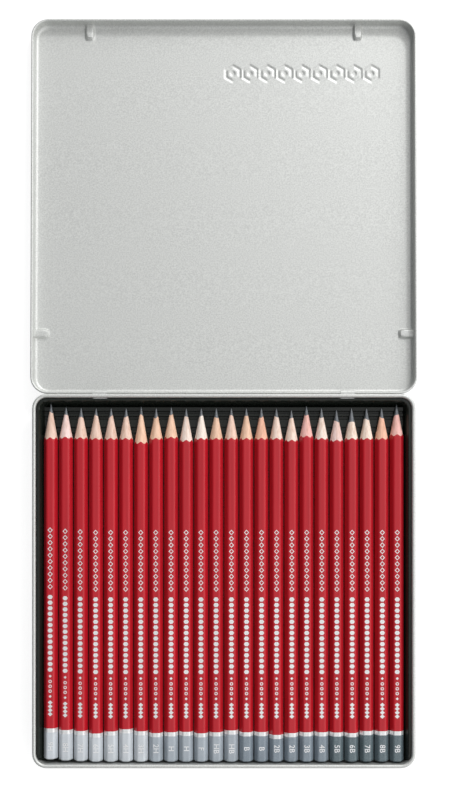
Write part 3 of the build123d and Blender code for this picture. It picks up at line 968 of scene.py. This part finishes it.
class TIN_OT_tray(Operator):
    """Thermoformed tray: flange, a channel for each pencil and the stepped bay under the points"""

    bl_idname = "pencil_tin.tray"
    bl_label = "Tray"

    def execute(self, context):
        tray = context.scene.pencil_tin.tray
        self.tray = tray
        half_width = TRAY_HIGH.x
        half_length = (TRAY_HIGH.y - TRAY_LOW.y) / 2
        self.open_half = half_width - tray.flange
        self.open_rear = half_length - tray.flange
        self.pan_wall = half_length + tray.pan_gap
        boxes = [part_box(name + "_casing") for name in PENCILS]
        self.places = np.array([(low.x + high.x) / 2 for low, high in boxes])
        lines = self.column_lines(), self.row_lines(half_length)
        outer, inner = (
            Outline(half_width, half_length, tray.corner, inset, *lines)
            for inset in (tray.edge, tray.sheet)
        )
        rounded = outer.rings(np.array([(-1, 0), (-0.3, 0.3), (0, 1)]) * tray.edge)
        rounded[..., 2] = self.height(rounded[:, :1, 0], rounded[:, :1, 1]) - rounded[..., 2]
        wall = inner.rings(np.array([(-tray.sheet, 0)]))
        wall[..., 2] = self.height(wall[..., 0], wall[..., 1]) - tray.sheet
        outer_foot, inner_foot = (self.lowered(grid[:, -1:]) for grid in (rounded, wall))
        patches = [
            self.formed(outer, 0),
            np.concatenate([rounded, outer_foot, inner_foot, wall], axis=1),
            self.formed(inner, tray.sheet),
        ]
        patches = moved(patches, lambda grid: grid + [0, (TRAY_LOW.y + TRAY_HIGH.y) / 2, 0])
        plastic = material_for("black_plastic")
        make_piece("tray_shell", patches, plastic, "tray", ["pencil_tray"])
        return {"FINISHED"}

    def formed(self, outline, depth):
        """The formed sheet inside the outline, at that depth under its upper face."""
        x, y = outline.floor()
        return np.stack([x, y, self.height(x, y) - depth], axis=-1)

    def lowered(self, grid):
        """The same points at the foot of the tray."""
        foot = grid.copy()
        foot[..., 2] = TRAY_LOW.z
        return foot

    def column_lines(self):
        """Columns at the foot and the mouth of each channel, with a little round at each."""
        tray = self.tray
        mouth = tray.channel_half + tray.channel_depth * CHANNEL_SLOPE
        offsets = np.add.outer([tray.channel_half, mouth], CHANNEL_TAPS).ravel()
        channels = np.add.outer(self.places, [0, *offsets, *-offsets]).ravel()
        wall = self.open_half - WALL_SHARES * tray.slant
        return np.unique(np.round(np.concatenate([channels, wall, -wall]), 7))

    def row_lines(self, half_length):
        """Rows at each edge of each step in the bay, and a few along the channels."""
        tray = self.tray
        edges = np.array([step[:2] for step in BAY_STEPS]).ravel() * MM
        marks = [
            -half_length,
            half_length,
            *np.add.outer(self.pan_wall - edges, STEP_SHARES * tray.step_edge).ravel(),
            *(self.pan_wall - tray.bay_length + END_SHARES * tray.step_edge),
            *(self.open_rear - WALL_SHARES * tray.slant),
        ]
        return spread(marks, TRAY_STEP)

    def height(self, x, y):
        """Height of the formed sheet: the highest of the walls, the channels and the bay's steps."""
        tray = self.tray
        nearest = self.places[np.abs(x[..., None] - self.places).argmin(axis=-1)]
        aside = np.abs(x - nearest) - tray.channel_half
        rises = [np.clip((aside + tap) / CHANNEL_SLOPE, 0, tray.channel_depth) for tap in CHANNEL_TAPS]
        channel = tray.channel_floor + np.mean(rises, axis=0)
        floor = tray.channel_floor - tray.bay_drop
        from_rear = self.pan_wall - y

        def past(place):
            """0 before that distance from the rear wall and 1 behind it."""
            return smooth((from_rear - place) / tray.step_edge + 0.5)

        bay = np.full_like(x, floor)
        for start, end, rise in BAY_STEPS:
            bay += (tray.channel_floor + rise * MM - floor) * (past(start * MM) - past(end * MM))
        inner = bay + (channel - bay) * past(tray.bay_length)
        corner = tray.inner_corner
        past_x = np.abs(x) - (self.open_half - corner)
        past_y = y - (self.open_rear - corner)
        beyond = np.hypot(np.maximum(past_x, 0), np.maximum(past_y, 0))
        beyond = beyond + np.minimum(np.maximum(past_x, past_y), 0) - corner
        climb = np.mean([np.clip(beyond / tray.slant + 1 + tap, 0, 1) for tap in WALL_TAPS], axis=0)
        return inner + (TRAY_HIGH.z - inner) * climb


# Pencils.


class Pencil:
    """One pencil lying along Y: its places, read from the solids, and its section."""

    def __init__(self, body, sizes):
        casing_low, casing_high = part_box(body + "_casing")
        lead_low, lead_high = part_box(body + "_lead")
        self.body = body
        self.number = int(body.split("_")[1])
        self.x = (casing_low.x + casing_high.x) / 2
        self.z = (casing_low.z + casing_high.z) / 2
        self.butt = casing_low.y
        self.tip = lead_high.y
        self.half = (casing_high.z - casing_low.z) / 2
        self.lead = (lead_high.x - lead_low.x) / 2
        self.blunt = sizes.blunt
        self.slope = sizes.taper * (self.lead - sizes.blunt) / (self.tip - casing_high.y)
        self.flare = sizes.flare
        self.random = np.random.default_rng(self.number)
        self.roll = math.radians(self.random.uniform(-sizes.roll, sizes.roll))
        self.turn, self.reach = self.section(sizes.edge)

    def section(self, edge):
        """Angle and distance of points round a hexagon with a flat on top and rounded edges.

        On a flat the distance is h / cos a, for the angle a from its middle. Round an edge of
        radius r it is c cos b + sqrt(r² - c² sin² b), for the angle b from the edge and the
        distance c of the middle of the round.
        """
        sector = math.pi / 3
        meet = math.atan((self.half - edge) * math.tan(sector / 2) / self.half)
        flat = np.linspace(-meet, meet, FLAT_STEPS)
        bend = np.linspace(meet, sector - meet, ROUND_STEPS)[1:-1]
        turn = (np.arange(6)[:, None] * sector + np.concatenate([flat, bend])[None, :]).ravel()
        aside = (turn + sector / 2) % sector - sector / 2
        centre = (self.half - edge) / math.cos(sector / 2)
        off = sector / 2 - np.abs(aside)
        round_part = np.sqrt(np.maximum(edge**2 - (centre * np.sin(off)) ** 2, 0))
        round_part += centre * np.cos(off)
        reach = np.where(np.abs(aside) <= meet + 1e-9, self.half / np.cos(aside), round_part)
        turn = np.append(turn, turn[0] + 2 * math.pi) + math.pi / 2
        return turn, np.append(reach, reach[0])

    def round(self, reach, along):
        """Grid of points from distances off the axis and places along it, each rows by section."""
        shape = np.broadcast_shapes(np.shape(reach), np.shape(along), (1, len(self.turn)))
        reach, along = np.broadcast_to(reach, shape), np.broadcast_to(along, shape)
        return self.placed(reach * np.cos(self.turn), along, reach * np.sin(self.turn))

    def axis_point(self, along):
        """A row of points that all lie on the axis, to close a piece."""
        return self.round(0.0, along)

    def placed(self, across, along, up):
        """Points from their distances across and up from the axis, after the pencil's own small roll."""
        x = self.x + across * math.cos(self.roll) + up * math.sin(self.roll)
        z = self.z + up * math.cos(self.roll) - across * math.sin(self.roll)
        return np.stack(np.broadcast_arrays(x, along, z), axis=-1)

    def cone(self, reach):
        """Place along the axis where the sharpened cone has that radius; it flares past the flats."""
        inner = np.minimum(reach, self.half) - self.blunt
        outer = np.maximum(reach - self.half, 0) / self.flare
        return self.tip - (inner + outer) / self.slope

    def lead_edge(self):
        """Radius of the lead where the wood ends, a little off the axis and ragged by the blade."""
        lean, where = self.random.uniform(0.03, 0.16), self.random.uniform(0, 2 * math.pi)
        wave, phase = self.random.uniform(0.01, 0.04), self.random.uniform(0, 2 * math.pi)
        shape = 1 + lean * np.cos(self.turn - where) + wave * np.cos(3 * self.turn - phase)
        return self.lead * LEAD_SHARES.get(self.number, 1) * shape

    def make(self, part, rows, finish, slot, nodes=(), tone=None):
        """A piece of this pencil from rows of points round it."""
        patches = [np.concatenate(rows)]
        make_piece(self.body + part, patches, material_for(finish), self.body, nodes, tone)


def pencils(context):
    """The pencils in order."""
    sizes = context.scene.pencil_tin.pencil
    return [Pencil(name, sizes) for name in PENCILS]


class TIN_OT_points(Operator):
    """Sharpened wood and lead of each pencil"""

    bl_idname = "pencil_tin.points"
    bl_label = "Points"

    def execute(self, context):
        sizes = context.scene.pencil_tin.pencil
        for pencil in pencils(context):
            self.make_point(pencil, sizes, context.scene.pencil_tin.finish)
        return {"FINISHED"}

    def make_point(self, pencil, sizes, finish):
        """Both are parts of one cone; behind the seen surface each closes to the axis."""
        lead = pencil.lead_edge()
        edge = pencil.reach - sizes.paint
        reach = lead + (edge - lead) * np.linspace(0, 1, WOOD_STEPS)[:, None]
        wood = [
            pencil.axis_point(pencil.cone(lead).min() - WOOD_FRONT),
            pencil.round(reach, pencil.cone(reach)),
            pencil.axis_point(pencil.cone(edge).min() - WOOD_BACK),
        ]
        # The later pencils get lighter tones as painted light, making up for the shade on the seen side of
        # their points.
        tone = getattr(finish, "wood_" + WOOD_NAMES[WOODS[pencil.number - 1]])
        tone = np.minimum(np.array(tone) * pencil.random.uniform(0.94, 1.05), 1)
        pencil.make("_wood", wood, "bare_wood", "bare_wood", [pencil.body + "_casing"], tone)
        turn = np.radians(np.linspace(0, 80, NOSE_STEPS))[:, None]
        sunk = pencil.blunt * (1 - np.cos(turn)) * sizes.nose
        taper = pencil.blunt + (lead - pencil.blunt) * np.linspace(0, 1, LEAD_STEPS)[1:, None]
        graphite = [
            pencil.round(pencil.blunt * np.sin(turn), pencil.tip - sunk),
            pencil.round(taper, pencil.cone(taper)),
            pencil.axis_point(pencil.cone(lead).min() - LEAD_BACK),
        ]
        pencil.make("_graphite", graphite, "polished_lead", "graphite", [pencil.body + "_lead"])


class TIN_OT_sleeves(Operator):
    """Red lacquer of each pencil, scalloped where the point cuts its flats"""

    bl_idname = "pencil_tin.sleeves"
    bl_label = "Lacquer"

    def execute(self, context):
        sizes = context.scene.pencil_tin.pencil
        for pencil in pencils(context):
            inner = pencil.reach - sizes.paint
            cut = pencil.cone(pencil.reach)
            end = ring_start(pencil, sizes) + sizes.ring_width
            rows = [
                pencil.axis_point(cut.min() - LACQUER_FRONT),
                pencil.round(inner, pencil.cone(inner)),
                pencil.round(pencil.reach, cut),
                pencil.round(pencil.reach, cut.min() - LACQUER_LEVEL),
                pencil.round(pencil.reach, end),
                pencil.axis_point(end),
            ]
            pencil.make("_lacquer", rows, "red_lacquer", "lacquered_casing")
        return {"FINISHED"}


def ring_start(pencil, sizes):
    """Where the foil ring starts; dipping is uneven, so each lies a little off its place."""
    return pencil.butt + sizes.dip_length + RING_SHIFTS[pencil.number - 1] * MM


class TIN_OT_ends(Operator):
    """Foil ring and dipped grey end of each pencil, with its grade in small print"""

    bl_idname = "pencil_tin.ends"
    bl_label = "Dipped ends"

    def execute(self, context):
        settings = context.scene.pencil_tin
        for pencil in pencils(context):
            self.make_ring(pencil, settings.pencil)
            self.make_dip(pencil, settings.pencil, self.dip_tone(pencil.number, settings.finish))
            self.make_grade(pencil, settings.pencil)
        return {"FINISHED"}

    def dip_tone(self, number, finish):
        """Seven hard, six middle, six soft and five of the softest."""
        return getattr(finish, next(tone for last, tone in DIP_TONES if number <= last))

    def make_ring(self, pencil, sizes):
        """Band of foil just proud of the lacquer."""
        start = ring_start(pencil, sizes)
        end = start + sizes.ring_width
        sunk, proud = -sizes.ring_sunk, sizes.stamp
        section = ((sunk, start), (proud, start), (proud, end), (sunk, end), (sunk, start))
        rows = [pencil.round(pencil.reach + out, place) for out, place in section]
        pencil.make("_ring", rows, "silver_foil", "silver_foil")

    def make_dip(self, pencil, sizes, tone):
        """Enamel over the wood, closed by a dome: reach sin t and height 1 - cos t."""
        turn = np.radians(np.linspace(0, 90, DOME_STEPS))[:, None]
        proud = pencil.reach + sizes.enamel
        end = ring_start(pencil, sizes) + sizes.enamel_overlap
        rows = [
            pencil.round(proud * np.sin(turn), pencil.butt + sizes.dome * (1 - np.cos(turn))),
            pencil.round(proud, end - sizes.enamel_lip),
            pencil.round(pencil.reach, end),
            pencil.axis_point(end),
        ]
        pencil.make("_dip", rows, "grey_enamel", "grey_dip", tone=tone)

    def make_grade(self, pencil, sizes):
        """Letters of the grade, read from the point to the butt."""
        curve = bpy.data.curves.new(pencil.body + "_grade", "FONT")
        curve.body = GRADES[pencil.number - 1]
        curve.size = sizes.grade_height / sizes.grade_cap
        curve.align_x = curve.align_y = "CENTER"
        curve.extrude = sizes.stamp
        curve.offset = sizes.grade_bold
        curve.resolution_u = 6
        text = bpy.data.objects.new(curve.name, curve)
        bpy.context.scene.collection.objects.link(text)
        mesh = bpy.data.meshes.new_from_object(text.evaluated_get(bpy.context.evaluated_depsgraph_get()))
        bpy.data.objects.remove(text)
        mesh.name = pencil.body + "_grade"
        points = np.zeros(len(mesh.vertices) * 3)
        mesh.vertices.foreach_get("co", points)
        along, across, up = points.reshape(-1, 3).T
        along = pencil.butt + sizes.grade_place - along
        placed = pencil.placed(across, along, pencil.half + sizes.grade_lift + up)
        mesh.vertices.foreach_set("co", placed.ravel())
        mesh.materials.clear()
        finish_piece(pencil.body + "_print", mesh, material_for("silver_foil"), pencil.body)


class TIN_OT_stamps(Operator):
    """Generic foil border on the top flat of each pencil: lozenges, hexagons and beads"""

    bl_idname = "pencil_tin.stamps"
    bl_label = "Foil border"

    def execute(self, context):
        sizes = context.scene.pencil_tin.pencil
        foil = material_for("silver_foil")
        for pencil in pencils(context):
            patches = [
                self.figure(pencil, sizes, sides, place * MM, *shape)
                for sides, first, end, pitch, *shape in FIGURES
                for place in np.arange(first, end, -pitch)
            ]
            make_piece(pencil.body + "_stamp", patches, foil, pencil.body)
        return {"FINISHED"}

    def figure(self, pencil, sizes, sides, place, half_across, half_along, hole):
        """Flat many-sided plate or ring, carried round its own middle."""
        angle = np.linspace(0, 2 * math.pi, sides + 1)
        across = half_across * MM * np.cos(angle)
        along = half_along * MM * np.sin(angle)
        low, high = pencil.half - sizes.stamp / 2, pencil.half + sizes.stamp
        section = ((1, low), (1, high), (hole, high), (hole, low), (1, low))
        rows = [
            pencil.placed(share * across, pencil.butt + place + share * along, height)
            for share, height in section
        ]
        return np.stack(rows)


class TIN_PT_panel(Panel):
    """Sidebar with the settings and one button for each step"""

    bl_idname = "TIN_PT_panel"
    bl_label = "Pencil Tin"
    bl_space_type = "VIEW_3D"
    bl_region_type = "UI"
    bl_category = "Pencil Tin"

    def draw(self, context):
        settings = context.scene.pencil_tin
        for group in (settings.tin, settings.tray, settings.pencil, settings.finish, settings.stage):
            column = self.layout.column(align=True)
            for key in group.__annotations__:
                column.prop(group, key)
        for operator in OPERATORS:
            self.layout.operator(operator.bl_idname)


GROUPS = (TinSizes, TraySizes, PencilSizes, Finishes, StageSettings, TinSettings)
OPERATORS = (
    TIN_OT_stage, TIN_OT_pan, TIN_OT_lid, TIN_OT_tray,
    TIN_OT_points, TIN_OT_sleeves, TIN_OT_ends, TIN_OT_stamps,
)


def register():
    for item in (*GROUPS, *OPERATORS, TIN_PT_panel):
        bpy.utils.register_class(item)
    bpy.types.Scene.pencil_tin = PointerProperty(type=TinSettings)


def unregister():
    del bpy.types.Scene.pencil_tin
    for item in reversed((*GROUPS, *OPERATORS, TIN_PT_panel)):
        bpy.utils.unregister_class(item)


def main():
    register()
    for operator in OPERATORS:
        group, step = operator.bl_idname.split(".")
        getattr(getattr(bpy.ops, group), step)()
    boxes = {"cad": cad_box, "visual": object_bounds()}
    plain = {name: [list(corner) for corner in corners] for name, corners in boxes.items()}


if __name__ == "__main__":
    main()
